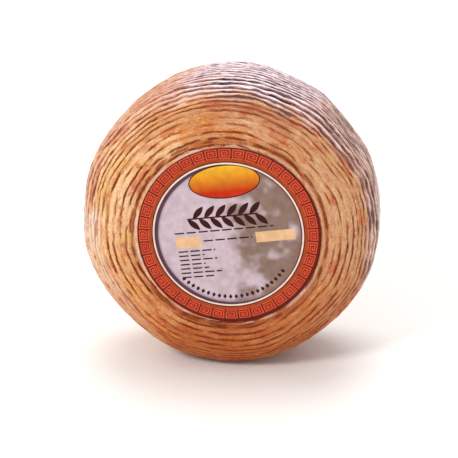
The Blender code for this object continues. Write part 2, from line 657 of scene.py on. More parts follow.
@dataclass(frozen=True)
class OiledRind:
    """Rind of an aged cheese, rubbed with oil.

    The skin is tan, with cream, salmon and ochre strokes as long as a reed's crossing, paler on
    the left partly from wear and partly as painted light. The rim is waxy lilac with pale crests
    that carry a painted highlight, and dark patches; the left corner is painted pale as a rim
    light, and the skin is browner towards the bottom. Oil leaves a soft sheen, and the grooves
    hold brown dirt, with a nearly black painted shade in the wax.

    A material's values are the noises of its patterns, the parts of the rind's attributes,
    the sums of both and the colours, all by name.
    """

    skin: str = "D2965F"
    patterns: tuple[tuple[str, Pattern], ...] = (
        ("blotch", Pattern(34 * MM, 18 * MM, 3.0)),
        ("patch", Pattern(18 * MM, 6 * MM, 3.0)),
        ("cell", Pattern(24 * MM, 5 * MM, 3.0)),
        ("stain", Pattern(16 * MM, 6 * MM, 2.0, by_rows=True)),
        ("gild", Pattern(14 * MM, 2.9 * MM, 2.0, by_rows=True)),
        ("streak", Pattern(8 * MM, 1.3 * MM, 3.0)),
        ("thread", Pattern(5 * MM, 0.7 * MM, 2.0)),
        ("spot", Pattern(6 * MM, 4 * MM, 3.0)),
        ("grain", Pattern(1.1 * MM, 0.8 * MM, 3.0)),
    )
    layers: tuple[Layer, ...] = (
        Layer("blotch", 0.54, 0.70, "E0883C", 0.9, "oiled", 0.18),
        Layer("blotch", 0.46, 0.64, "DCB28C", 0.7, "tarnished", 0.14),
        Layer("patch", 0.52, 0.64, "CC7C48", 0.5),
        # Cream layers pulled to the left by the rubbed share: partly wear, partly painted light
        Layer("cell", 0.61, 0.77, "F8C686", 0.9, "rubbed", 0.32),
        Layer("blotch", 0.62, 0.78, "FAD2A6", 0.8, "rubbed", 0.28),
        # Painted rim light: near-white layer on the left corner
        Layer("blotch", 0.64, 0.84, "F4DECC", 0.95, "faint", 0.42),
        Layer("gild", 0.62, 0.72, "DC8C34", 0.6, "oiled", 0.04),
        Layer("gild", 0.70, 0.82, "F2CC7A", 0.7, "rubbed", 0.2),
        Layer("stain", 0.57, 0.68, "D2764E", 0.8, "rubbed", 0.03),
        Layer("streak", 0.55, 0.68, "C06C38", 0.4),
        Layer("streak", 0.44, 0.32, "F2CCA0", 0.6),
        Layer("spot", 0.60, 0.70, "A8540E", 0.6),
        Layer("thread", 0.60, 0.68, "7A3C14", 0.6),
    )
    # The way from a groove runs from 0 to pi on the crest, and a line is half as wide as it
    # says. Lines are broken on the face, and widest in the wax, where they are painted shade
    sums: tuple[tuple[Any, ...], ...] = (
        ("waxed", Sum.TIMES, "wax", "crown"),
        ("shaded", Sum.MINUS, "wax", "waxed"),
        ("turn", Sum.ANGLE, "sine", "cosine"),
        ("ragged", Sum.RANGE, "thread", 0.0, 1.0, -1.6, 1.6),
        ("shaken", Sum.PLUS, "turn", "ragged"),
        ("away", Sum.SIZE, "shaken"),
        ("face_line", Sum.RANGE, "streak", 0.34, 0.5, 0.0, 1.5),
        ("rim_line", Sum.RANGE, "bloom", 0.0, 1.0, "face_line", 1.3),
        ("wax_line", Sum.RANGE, "waxed", 0.0, 1.0, "rim_line", 2.6),
        ("uneven", Sum.RANGE, "streak", 0.3, 0.7, 0.5, 1.5),
        ("line", Sum.TIMES, "wax_line", "uneven"),
        ("dark", Sum.FADE, "away", "line", 0.0, 0.0, 1.25),
        ("groove", Sum.SHARE, "dark", "strength"),
        # Pale face crests on the left: partly wear, partly painted light
        ("rubbed_crest", Sum.RANGE, "stain", 0.58, 0.4, 0.0, "rubbed"),
        ("face_crest", Sum.TIMES, "rubbed_crest", 0.7),
        ("flushed", Sum.RANGE, "patch", 0.4, 0.6, 0.0, "flush"),
        ("flushed_crest", Sum.RANGE, "streak", 0.4, 0.6, 0.0, "flush"),
        ("creased_crest", Sum.TIMES, "flushed_crest", "wax"),
        ("side_tarnish", Sum.TIMES_PLUS, "tarnished", 0.1, "patch"),
        ("tarnish", Sum.TIMES_PLUS, "crown", -0.07, "side_tarnish"),
        # Share of the rim's crest colour: partly pale crests, partly painted highlight, near white
        # in the wax
        ("rim_crest", Sum.RANGE, "tarnish", 0.5, 0.66, 0.95, 0.35),
        ("wax_crest", Sum.TIMES, "waxed", "rim_crest"),
        ("grain_bump", Sum.TIMES_PLUS, "grain", 0.2, 0.0),
        ("thread_bump", Sum.TIMES_PLUS, "thread", 0.35, "grain_bump"),
        ("streak_bump", Sum.TIMES_PLUS, "streak", 0.6, "thread_bump"),
        ("bump", Sum.TIMES_PLUS, "groove", -0.6, "streak_bump"),
        ("oily", Sum.RANGE, "spot", 0.3, 0.7, 0.32, 0.52),
        ("waxy", Sum.RANGE, "bloom", 0.0, 1.0, 0.02, 0.2),
    )
    # The flush towards the rim, the pale crests, and browner, darker colour towards the bottom
    face_coats: tuple[Coat, ...] = (
        Coat("flushed", 0.0, 1.0, "BC5C34", 0.8),
        Coat("away", 1.6, 2.9, "ECC0A2", "flushed_crest"),
        Coat("away", 1.9, 2.9, "ECC6A8", "creased_crest"),
        Coat("away", 1.4, 2.9, "FADCB0", "face_crest"),
        # Browner and darker towards the bottom
        Coat("height", 118 * MM, 0.0, "E09E44", 0.9, "MULTIPLY"),
    )
    # Rim crest colour: pale crest with a painted highlight that turns near white at the crown
    pale_crest_and_highlight: str = "ECC6A8"
    pale_crest_and_highlight_coats: tuple[Coat, ...] = (Coat("crown", 0.0, 1.0, "FAE2D8"),)
    # Lilac wax and its shaded edge, dark patches, ochre streaks, and pale crests with a painted
    # highlight
    rim: str = "D0A49A"
    rim_coats: tuple[Coat, ...] = (
        Coat("waxed", 0.0, 1.0, "C4A0AE"),
        Coat("shaded", 0.0, 1.0, "A46A4C", 0.85),
        Coat("tarnish", 0.50, 0.62, "643C3E", 0.85),
        Coat("streak", 0.55, 0.65, "C09460", 0.65),
        # Pale crests with painted highlight, and a near-white painted highlight on the wax crests
        Coat("away", 1.8, 2.6, "pale_crest_and_highlight", "rim_crest"),
        Coat("away", 1.4, 2.5, "FAEFF8", "wax_crest"),
    )
    # Groove colour: brown dirt on the face, redder on the rim, and a nearly black painted shade in
    # the wax
    dirt: str = "7E2E00"
    groove_dirt_and_shade_coats: tuple[Coat, ...] = (
        Coat("bloom", 0.0, 1.0, "743E38"),
        # Nearly black painted shade in the wax grooves
        Coat("waxed", 0.0, 1.0, "320F10"),
    )
    # The rim's colour, the paste and the dirt round the label, the grain, the ridges' flanks
    # and the grooves' dirt and painted shade
    top_coats: tuple[Coat, ...] = (
        Coat("bloom", 0.0, 1.0, "rim"),
        Coat("collar", 0.0, 1.0, "E6C4B4"),
        Coat("grime", 0.0, 0.5, "C89468", 1.0, "MULTIPLY"),
        Coat("grime", 0.2, 1.0, "6A2E0C", 0.9),
        Coat("grain", 0.7, 0.3, "E2D2C8", 1.0, "MULTIPLY"),
        Coat("away", 1.7, 0.2, "B06A34", "strength", "MULTIPLY"),
        # Grooves darkened by dirt, and in the wax by painted shade
        Coat("groove", 0.0, 1.0, "dirt"),
    )
    row: float = 4.4 * MM
    relief: float = 0.4 * MM

    def material(self) -> bpy.types.Material:
        """Build the node material.

        Returns:
            The material.
        """
        material, tree, shader = new_material("oiled_cheese_rind")
        values = self.noises(tree) | self.parts(tree)
        work_out(tree, values, self.sums)
        values["skin"] = self.skin_colour(tree, values)
        for name, ground, coats in (
            ("face", "skin", self.face_coats),
            ("pale_crest_and_highlight", self.pale_crest_and_highlight, self.pale_crest_and_highlight_coats),
            ("rim", self.rim, self.rim_coats),
            ("dirt", self.dirt, self.groove_dirt_and_shade_coats),
            ("rind", "face", self.top_coats),
        ):
            values[name] = lay_coats(tree, values, ground, coats)
        bump = {"Strength": 1.0, "Distance": self.relief, "Height": values["bump"]}
        finish = {
            "Base Color": values["rind"],
            "Roughness": values["oily"],
            "Specular IOR Level": 0.2,
            "Coat Weight": values["waxy"],
            "Coat Roughness": 0.25,
            "Normal": add_node(tree, "ShaderNodeBump", bump),
        }
        plug(tree, shader, finish)
        return material

    def noises(self, tree: Tree) -> Values:
        """Add the patterns on the rind's own coordinates, which follow the ridges.

        Args:
            tree: Node tree that gets the nodes.

        Returns:
            The noise nodes by name.
        """
        read = add_node(tree, "ShaderNodeAttribute", attribute_name="weave")
        weave = read.outputs["Vector"]
        ragged = add_node(tree, "ShaderNodeTexNoise", {"Vector": weave, "Scale": 1 / self.row})
        rows: Any = ragged.outputs["Color"]
        for operation, by, then in (
            ("MULTIPLY_ADD", (0.0, 2 * self.row, 0.0), weave),
            ("SNAP", (0.1 * MM, self.row, 0.1 * MM), (0.0, 0.0, 0.0)),
        ):
            rows = add_node(tree, "ShaderNodeVectorMath", (rows, by, then), operation=operation)
        made = {}
        for name, pattern in self.patterns:
            along, across = 1 / pattern.length, 1 / pattern.width
            source = rows if pattern.by_rows else weave
            stretch = {"Vector": source, "Scale": (along, across, along)}
            scaled = add_node(tree, "ShaderNodeMapping", stretch)
            grain = {"Scale": 1.0, "Detail": pattern.detail, "Roughness": pattern.roughness}
            made[name] = add_node(tree, "ShaderNodeTexNoise", {"Vector": scaled, **grain})
        return made

    def parts(self, tree: Tree) -> Values:
        """Read the parts of the rind's attributes, and the height above the floor.

        Args:
            tree: Node tree that gets the nodes.

        Returns:
            The parts by name.
        """
        place = add_node(tree, "ShaderNodeTexCoord").outputs["Object"]
        made = {"height": add_node(tree, "ShaderNodeSeparateXYZ", (place,)).outputs["Z"]}
        for attribute, names in RIND_PARTS.items():
            read = add_node(tree, "ShaderNodeAttribute", attribute_name=attribute)
            parts = add_node(tree, "ShaderNodeSeparateXYZ", (read.outputs["Vector"],))
            made.update(zip(names, parts.outputs))
        return made

    def skin_colour(self, tree: Tree, values: Values) -> Node:
        """Add the colour of the skin and its layers, each pulled towards where it is worn.

        Args:
            tree: Node tree that gets the nodes.
            values: Values by name.

        Returns:
            The colour.
        """
        coats = []
        for number, layer in enumerate(self.layers):
            name = f"layer_{number}"
            pull = (name, Sum.TIMES_PLUS, layer.wear, layer.pull, layer.pattern)
            work_out(tree, values, [pull])
            coats.append(Coat(name, layer.start, layer.full, layer.colour, layer.most))
        return lay_coats(tree, values, self.skin, coats)


@dataclass(frozen=True)
class PatchSizes:
    """Sizes of the patches in which the rind changes, and lengths and widths of its dashes."""

    wander: float = 45 * MM
    shiver: Pair = (8 * MM, 4 * MM)
    wear: float = 24 * MM
    collar: float = 10 * MM
    dirt: float = 9 * MM
    dirt_bend: float = 19 * MM
    # Patches along the edge of the painted rim light
    faint: float = 16 * MM
    wax: float = 15 * MM
    groove: float = 30 * MM
    groove_dash: Pair = (15 * MM, 3 * MM)
    groove_nick: Pair = (6 * MM, 2.4 * MM)
    rim: float = 20 * MM
    rim_dash: Pair = (14 * MM, 14 / 3 * MM)
    crest: Pair = (5 * MM, 3 * MM)
    lump: float = 17 * MM
    pit: float = 3.2 * MM


@dataclass
class CheeseWheel:
    """The whole cheese: a turned mesh with its ridges as relief."""

    form: WheelForm = field(default_factory=WheelForm)
    ridges: ReedRidges = field(default_factory=ReedRidges)
    sizes: PatchSizes = field(default_factory=PatchSizes)
    finish: OiledRind = field(default_factory=OiledRind)
    label_radius: float = 60 * MM
    label_right: float = 2.5 * MM
    plain_until: float = 54 * MM
    ridged_from: float = 58 * MM
    plain_rings: int = 6
    segments: int = 288
    last_step: float = 0.4 * MM
    pressed_height: float = 3 * MM
    back_eye: float = 7 * MM
    unspliced_back: float = 30 * MM
    # Directions about the axis, and how far to each side of them bloom and wax reach
    bloom_side: float = math.radians(47)
    bloom_reach: float = math.radians(51)
    calm_side: float = math.radians(75)
    # Left side, paler partly from wear and partly as painted light
    rubbed_and_lit_side: float = math.radians(178)
    oiled_side: float = math.radians(118)
    tarnished_side: float = math.radians(14)
    wax_side: float = math.radians(78)
    wax_reach: float = math.radians(21)
    # Side of the left corner that is painted pale as a rim light
    rim_light_side: float = math.radians(208)
    # How far outwards the rind faces where each begins and where it is full
    corner_from: Pair = (0.3, 0.6)
    wax_from: Pair = (0.55, 0.72)
    flush_from: Pair = (0.66, 0.80)
    bloom_from: Pair = (0.70, 0.84)
    crown_from: Pair = (0.72, 0.95)
    # Distances out from the label: the collar's edge, the line of dirt and the brown wash
    collar_edge: Pair = (1.4 * MM, 3.4 * MM)
    dirt_line: float = 4.2 * MM
    dirt_bend: float = 1.4 * MM
    dirt_width: float = 0.8 * MM
    wash_rise: Pair = (0.8 * MM, 3 * MM)
    wash_fall: Pair = (2 * MM, 10 * MM)
    # Lengths along the section: the dark crease at the top and the deep grooves by the label
    crease_rise: Pair = (68 * MM, 86 * MM)
    crease_fall: Pair = (89 * MM, 94 * MM)
    near_label: Pair = (64 * MM, 73 * MM)

    def rings(self) -> list[Ring]:
        """Rings of the mesh from the middle of the front to the middle of the back.

        Returns:
            The rings.
        """
        lengths = [self.plain_until * i / self.plain_rings for i in range(self.plain_rings)]
        along = self.plain_until
        while along < self.form.length - self.last_step:
            lengths.append(along)
            outward = abs(self.form.section_normal(along)[0])
            along += self.ridges.pitch(outward) / self.ridges.rings_per_ridge
        lengths.append(self.form.length)
        made, phase, last = [], 0.0, 0.0
        for along in lengths:
            normal = self.form.section_normal(along)
            phase += (along - last) / self.ridges.pitch(abs(normal[0]))
            last = along
            made.append(Ring(along, self.form.section(along), normal, phase))
        return made

    def build(self) -> bpy.types.Object:
        """Build the rind, in the place of the plain wheel.

        Returns:
            The rind.
        """
        rings = self.rings()
        mesh, mark = turned([ring.section for ring in rings], self.segments)
        names = ("weave", *RIND_PARTS)
        layers = {name: mesh.verts.layers.float_vector.new(name) for name in names}
        wears = {"wear": self.wear, "rim": self.rim, "paste": self.paste, "pale": self.pale}
        step = 2 * math.pi / self.segments
        dips = [self.form.outline_dip(step * i) for i in range(self.segments)]
        splices = self.ridges.splices(self.ridged_from, self.form.length - self.unspliced_back)
        middle = self.form.middle
        for corner in mesh.verts:
            ring = rings[corner[mark]]
            angle = math.atan2(corner.co.z, corner.co.x)
            dip = dips[round(angle / step) % self.segments]
            plain = self.form.place(ring.section, angle, dip)
            spot = Spot(ring, plain, angle)
            phase = self.phase(spot)
            corner[layers["weave"]] = Vector((plain.x, phase * self.ridges.face_pitch, plain.z))
            for splice in splices:
                phase += self.ridges.splice_phase(splice, ring.along, angle, ring.section[0])
            strength = self.strength(spot)
            for name, wear in wears.items():
                corner[layers[name]] = wear(spot)
            turn = 2 * math.pi * phase
            corner[layers["ridge"]] = Vector((math.cos(turn), math.sin(turn), strength))
            place = plain + self.height(spot, phase, strength) * spot.normal
            place.z = max(place.z, self.form.floor)
            corner.co = place + middle
        piece = finish_piece("ridged_rind", mesh, [self.finish.material()])
        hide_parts("cheese_wheel")
        return piece

    def phase(self, spot: Spot) -> float:
        """Number of ridges up to a place, whole in the middle of each groove.

        Args:
            spot: The place.

        Returns:
            The number.
        """
        ridges = self.ridges
        phase = spot.ring.phase + ridges.sag_phase(spot.angle, spot.outward)
        phase += ridges.wander * spot.patch(self.sizes.wander)
        shiver = ridges.shiver + ridges.corner_shiver * smooth_step(0.4, 0.7, spot.outward)
        return phase + shiver * spot.dash(self.sizes.shiver)

    def wear(self, spot: Spot) -> Vector:
        """How far a place is rubbed pale (partly wear, partly painted light on the left), oiled
        orange and tarnished dark, by its side.

        Args:
            spot: The place.

        Returns:
            The three shares.
        """
        patch = 0.5 * spot.patch(self.sizes.wear)
        sides = (self.rubbed_and_lit_side, self.oiled_side, self.tarnished_side)
        made = Vector([smooth_step(0.2, 1.0, spot.facing(side) + patch) for side in sides])
        made.x *= 0.72
        made.y *= 1 - 0.4 * smooth_step(*self.corner_from, spot.outward)
        return made

    def paste(self, spot: Spot) -> Vector:
        """How far the rind is pale with dried paste, dirty round it, and waxed at the top.

        Args:
            spot: The place.

        Returns:
            The three shares.
        """
        wax = self.wax(spot)
        if spot.plain.y > 0:
            return Vector((0.0, 0.0, wax))
        away = self.from_label(spot) - self.label_radius
        collar = 0.8 * (0.5 + spot.patch(self.sizes.collar))
        collar *= 1 - smooth_step(*self.collar_edge, away)
        collar *= 1 - 0.8 * self.bare(spot)
        bend = self.dirt_line + self.dirt_bend * spot.patch(self.sizes.dirt_bend)
        dirty = math.exp(-(((away - bend) / self.dirt_width) ** 2))
        dirty *= smooth_step(-0.1, 0.2, spot.patch(self.sizes.dirt))
        wash = 0.3 * rise_and_fall(self.wash_rise, self.wash_fall, away)
        crease = rise_and_fall(self.crease_rise, self.crease_fall, spot.ring.along)
        return Vector((collar, wash + 0.25 * crease * self.creased(spot) + 0.45 * dirty, wax))

    def bare(self, spot: Spot) -> float:
        """How far a place is on the side where the rind by the label is clean."""
        return smooth_step(0.75, 0.95, spot.facing(self.tarnished_side))

    def creased(self, spot: Spot) -> float:
        """How far a place is within the creased top of the wheel."""
        return 1 - smooth_step(0.2, 0.6, spot.aside(self.wax_side))

    def from_label(self, spot: Spot) -> float:
        """Distance from the label's middle, as seen from the front."""
        return math.hypot(spot.plain.x - self.label_right, spot.plain.z)

    def pale(self, spot: Spot) -> Vector:
        """How far a place is on the corner at the left that is painted pale as a rim light, with
        fainter grooves.

        Args:
            spot: The place.

        Returns:
            The share and two zeros.
        """
        side = spot.facing(self.rim_light_side) + 0.1 * spot.patch(self.sizes.faint)
        corner = smooth_step(*self.corner_from, spot.outward)
        return Vector((smooth_step(0.72, 0.94, side) * corner, 0.0, 0.0))

    def wax(self, spot: Spot) -> float:
        """How far a place is in the waxed part of the rim, at the top.

        Args:
            spot: The place.

        Returns:
            The share.
        """
        side = spot.aside(self.wax_side) - self.wax_reach
        inside = 1 - smooth_step(-0.15, 0.25, side + 0.2 * spot.patch(self.sizes.wax))
        return inside * smooth_step(*self.wax_from, spot.outward)

    def strength(self, spot: Spot) -> float:
        """How deep and dark the groove nearest to a place is.

        Args:
            spot: The place.

        Returns:
            The share from 0 to 1.
        """
        dash = smooth_step(-0.18, 0.22, spot.dash(self.sizes.groove_dash))
        nick = smooth_step(-0.3, 0.2, spot.dash(self.sizes.groove_nick))
        patchy = smooth_step(-0.35, 0.2, spot.patch(self.sizes.groove))
        calm = 1 - 0.52 * smooth_step(0.0, 0.95, spot.facing(self.calm_side))
        near_label = 1.2 * (1 - smooth_step(*self.near_label, spot.ring.along)) * nick * patchy
        near_label *= 1 - 0.75 * self.bare(spot)
        face = (0.1 + 0.9 * dash * (0.5 + 0.5 * patchy)) * calm + near_label
        rim = blend(0.15 + 0.2 * dash + 0.65 * nick, 0.55 + 0.45 * dash, self.wax(spot))
        # Grooves fade under the painted rim light on the left corner
        faint = 1 - 0.55 * self.pale(spot).x
        outward = smooth_step(0.2, 0.9, spot.outward)
        return blend(min(face, 1.0), rim, outward) * faint * self.open_rind(spot)

    def rim(self, spot: Spot) -> Vector:
        """How far the rind has the rim's lilac bloom, and the flush that leads over to it.

        The bloom covers the rim at the top and at the right, and the flush the rest of it.

        Args:
            spot: The place.

        Returns:
            The shares of bloom, flush and the rim's crown.
        """
        patch = spot.patch(self.sizes.rim)
        height = math.sin(spot.angle)
        outward = spot.outward + 0.08 * patch + 0.1 * spot.dash(self.sizes.rim_dash)
        outward += 0.03 * smooth_step(0.3, 0.9, height)
        away = spot.aside(self.bloom_side) - self.bloom_reach
        reach = 1 - smooth_step(-0.1, 0.5, away + 0.2 * patch)
        creased = self.creased(spot)
        low = smooth_step(0.1, -0.6, height)
        bloom = smooth_step(*self.bloom_from, outward + 0.1 * creased)
        bloom *= blend(0.32 * (1 - low), 1.0, reach)
        flush = smooth_step(*self.flush_from, outward + 0.26 * creased)
        # Less flush under the painted rim light on the left corner
        flush *= (1 - 0.7 * self.pale(spot).x) * (1 - 0.8 * low * (1 - reach))
        return Vector((bloom, flush, smooth_step(*self.crown_from, outward)))

    def height(self, spot: Spot, phase: float, strength: float) -> float:
        """How far a place stands out from the plain wheel.

        Args:
            spot: The place.
            phase: Number of ridges up to it.
            strength: Strength of the groove there.

        Returns:
            The height along the normal.
        """
        open_rind = self.open_rind(spot)
        if open_rind == 0.0:
            return 0.0
        ridges, outward = self.ridges, spot.outward
        away = phase - round(phase)
        width = blend(ridges.face_width, ridges.rim_width, outward)
        thin = math.exp(-((away / width) ** 2))
        rounded = 0.5 + 0.5 * math.cos(2 * math.pi * away)
        rope = 0.05 + 0.65 * outward
        share = blend(ridges.face_groove, ridges.rim_groove, outward)
        depth = ridges.pitch(outward) * share * strength
        height = -depth * blend(thin, 0.6 * rounded + 0.4 * thin, rope)
        height += ridges.crest_uneven * spot.dash(self.sizes.crest) * (1 - thin)
        height += ridges.lump * (spot.patch(self.sizes.lump) - 0.4)
        height -= ridges.pit * smooth_step(0.42, 0.62, spot.patch(self.sizes.pit))
        pressed = smooth_step(0.0, self.pressed_height, spot.plain.z - self.form.floor)
        return height * open_rind * pressed

    def open_rind(self, spot: Spot) -> float:
        """Share that is 0 well under the label and at the back's eye, and 1 on the open rind.

        Args:
            spot: The place.

        Returns:
            The share.
        """
        if spot.plain.y > 0:
            return smooth_step(0.0, self.back_eye, self.form.length - spot.ring.along)
        return smooth_step(self.ridged_from - 2 * MM, self.ridged_from + MM, self.from_label(spot))


class Ink(Enum):
    """Inks of the label, as sRGB hex."""

    ARTWORK = "C9B4BC"
    MAROON = "4A1513"
    CREAM = "EFD6C6"
    MARGIN = "A6431F"
    BRICK = "981E11"
    KEY_LINE = "CA5434"
    DIVIDER = "5E140C"
    RIM = "6C1A12"


def bar_distance(across: float, up: float, bar: tuple[float, float, float, float]) -> float:
    """Distance out of a bar, given by its left, its right, its middle height and its height."""
    left, right, level, tall = bar
    return max(left - across, across - right, abs(up - level) - tall / 2)


@dataclass(frozen=True)
class LabelPrint:
    """Rings and motifs of the label's print, about the print's middle, in metres."""

    field_edge: float = 48.2 * MM
    line_inner: float = 44.8 * MM
    shade_inner: float = 43.4 * MM
    bands: tuple[tuple[float, Ink], ...] = (
        (49.3 * MM, Ink.CREAM),
        (50.0 * MM, Ink.MAROON),
        (52.0 * MM, Ink.MARGIN),
    )
    key_outer: float = 58.4 * MM
    key_units: int = 40
    key_cells: int = 9
    steps_per_cell: int = 2
    shift: Pair = (-0.5 * MM, 0.6 * MM)
    roll: float = math.radians(7.4)
    ring_step: float = 0.55 * MM
    # Middle across and up, half width and half height
    oval: tuple[float, float, float, float] = (2.2 * MM, 36.6 * MM, 23.3 * MM, 11.3 * MM)
    # Left and right end and height of the sprig, and length, width and lean of its leaves
    sprig: tuple[float, float, float] = (-25.0 * MM, 21.0 * MM, 13.4 * MM)
    leaf: tuple[float, float, float] = (11.0 * MM, 4.0 * MM, math.radians(46))
    leaf_pitch: float = 7.4 * MM
    stalk: float = 1.0 * MM
    # Left, right, middle height and height of the plain panels
    panels: tuple[tuple[float, float, float, float], ...] = (
        (-34.4 * MM, -18.2 * MM, -2.4 * MM, 7.8 * MM),
        (18.0 * MM, 43.5 * MM, -2.8 * MM, 7.2 * MM),
    )
    # Left, right and height of the short rules beside and over the panels
    rules: tuple[tuple[float, float, float], ...] = (
        (-34.8 * MM, 30.2 * MM, 4.2 * MM),
        (-16.5 * MM, 16.0 * MM, -2.2 * MM),
    )
    rule_height: float = 1.0 * MM
    word: float = 6.5 * MM
    word_gap: float = 1.3 * MM
    block_left: float = -34.0 * MM
    block_top: float = -8.6 * MM
    block_pitch: float = 3.0 * MM
    block_widths: tuple[float, ...] = (24.6, 17.0, 25.0, 17.0, 19.0, 27.0, 21.5)
    lozenge_radius: float = 42.6 * MM
    lozenge: Pair = (1.8 * MM, 1.3 * MM)
    lozenge_span: tuple[int, int] = (220, 320)
    lozenge_step: int = 5

    @property
    def steps(self) -> int:
        """How many steps a full turn of the print's mesh takes."""
        return self.key_units * (self.key_cells + 1) * self.steps_per_cell

    def radii(self) -> list[float]:
        """Ring radii from the middle to the outer edge of the key border.

        Returns:
            The radii.
        """
        count = math.ceil(self.field_edge / self.ring_step)
        made = [self.field_edge * i / count for i in range(count + 1)]
        made += [edge for edge, _ in self.bands]
        inner = self.bands[-1][0]
        step = (self.key_outer - inner) / self.key_cells
        made += [inner + step * (i + 1) for i in range(self.key_cells)]
        return made

    def ink_at(self, radius: float, angle: float) -> Ink:
        """Ink at a place of the print.

        Args:
            radius: Distance from the print's middle.
            angle: Direction from it, from 0 to a full turn.

        Returns:
            The ink.
        """
        if radius < self.field_edge:
            return Ink.ARTWORK
        for edge, ink in self.bands:
            if radius < edge:
                return ink
        if radius > self.key_outer:
            return Ink.RIM
        inner = self.bands[-1][0]
        row = int((radius - inner) / (self.key_outer - inner) * self.key_cells)
        columns = self.key_cells + 1
        column = int(angle / (2 * math.pi) * self.key_units * columns) % columns
        if column == self.key_cells:
            return Ink.DIVIDER
        return Ink.KEY_LINE if self.on_spiral(column, row) else Ink.BRICK

    def on_spiral(self, column: int, row: int) -> bool:
        """Whether a cell of a key unit is on its square spiral.

        Args:
            column: Number of the cell along the border.
            row: Number of the cell outwards.

        Returns:
            Whether it is.
        """
        last = self.key_cells - 1
        turn = min(column, row, last - column, last - row)
        broken = column == turn and row == turn + 1
        return (turn % 2 == 0) != broken

    def oval_distance(self, across: float, up: float) -> float:
        """Distance out of the oval, below 0 inside it.

        Args:
            across: Distance to the right of the print's middle.
            up: Height above it.

        Returns:
            The distance in metres.
        """
        middle_x, middle_z, half_width, half_height = self.oval
        place = Vector(((across - middle_x) / half_width, (up - middle_z) / half_height))
        slope = Vector((place.x / half_width, place.y / half_height)).length
        if slope == 0.0:
            return -half_height
        return place.length * (place.length - 1) / slope

    def panel_distance(self, across: float, up: float) -> float:
        """Distance out of the nearest plain panel."""
        return min(bar_distance(across, up, panel) for panel in self.panels)

    def motif_distance(self, across: float, up: float) -> float:
        """Distance out of the nearest dark motif: sprig, rules, text block and lozenges.

        Args:
            across: Distance to the right of the print's middle.
            up: Height above it.

        Returns:
            The distance in metres.
        """
        found = min(self.sprig_distance(across, up), self.lozenge_distance(across, up))
        rows = list(self.rules)
        for number, width in enumerate(self.block_widths):
            level = self.block_top - number * self.block_pitch
            rows.append((self.block_left, self.block_left + width * MM, level))
        for left, right, level in rows:
            if abs(up - level) < self.block_pitch and left - MM < across < right + MM:
                column = (across - left) % (self.word + self.word_gap)
                gap = abs(column - self.word / 2) - self.word / 2
                bar = bar_distance(across, up, (left, right, level, self.rule_height))
                found = min(found, max(gap, bar))
        return found

    def sprig_distance(self, across: float, up: float) -> float:
        """Distance out of a level sprig with two rows of leaves.

        Args:
            across: Distance to the right of the print's middle.
            up: Height above it.

        Returns:
            The distance in metres.
        """
        left, right, level = self.sprig
        length, width, lean = self.leaf
        if not (left - length < across < right + length and abs(up - level) < length + MM):
            return length
        found = bar_distance(across, up, (left, right, level, self.stalk))
        count = int((right - left) / self.leaf_pitch)
        for number in range(2 * count + 1):
            side = 1 if number % 2 else -1
            along = Vector((math.cos(lean), side * math.sin(lean)))
            from_foot = Vector((across - left - number * self.leaf_pitch / 2, up - level))
            run = from_foot.dot(along)
            bulge = width / 2 * (1 - (2 * run / length - 1) ** 2)
            found = min(found, max(abs(from_foot.cross(along)) - bulge, -run, run - length))
        return found

    def lozenge_distance(self, across: float, up: float) -> float:
        """Distance out of the row of lozenges that follows the print's edge at the foot.

        Args:
            across: Distance to the right of the print's middle.
            up: Height above it.

        Returns:
            The distance in metres.
        """
        radius = math.hypot(across, up)
        degrees = math.degrees(math.atan2(up, across)) % 360
        first, last = self.lozenge_span
        number = round((degrees - first) / self.lozenge_step)
        number = min(max(number, 0), (last - first) // self.lozenge_step)
        off = math.radians(degrees - first - number * self.lozenge_step) * self.lozenge_radius
        tall, wide = self.lozenge
        share = abs(radius - self.lozenge_radius) / tall + abs(off) / wide
        return (share - 1) * wide


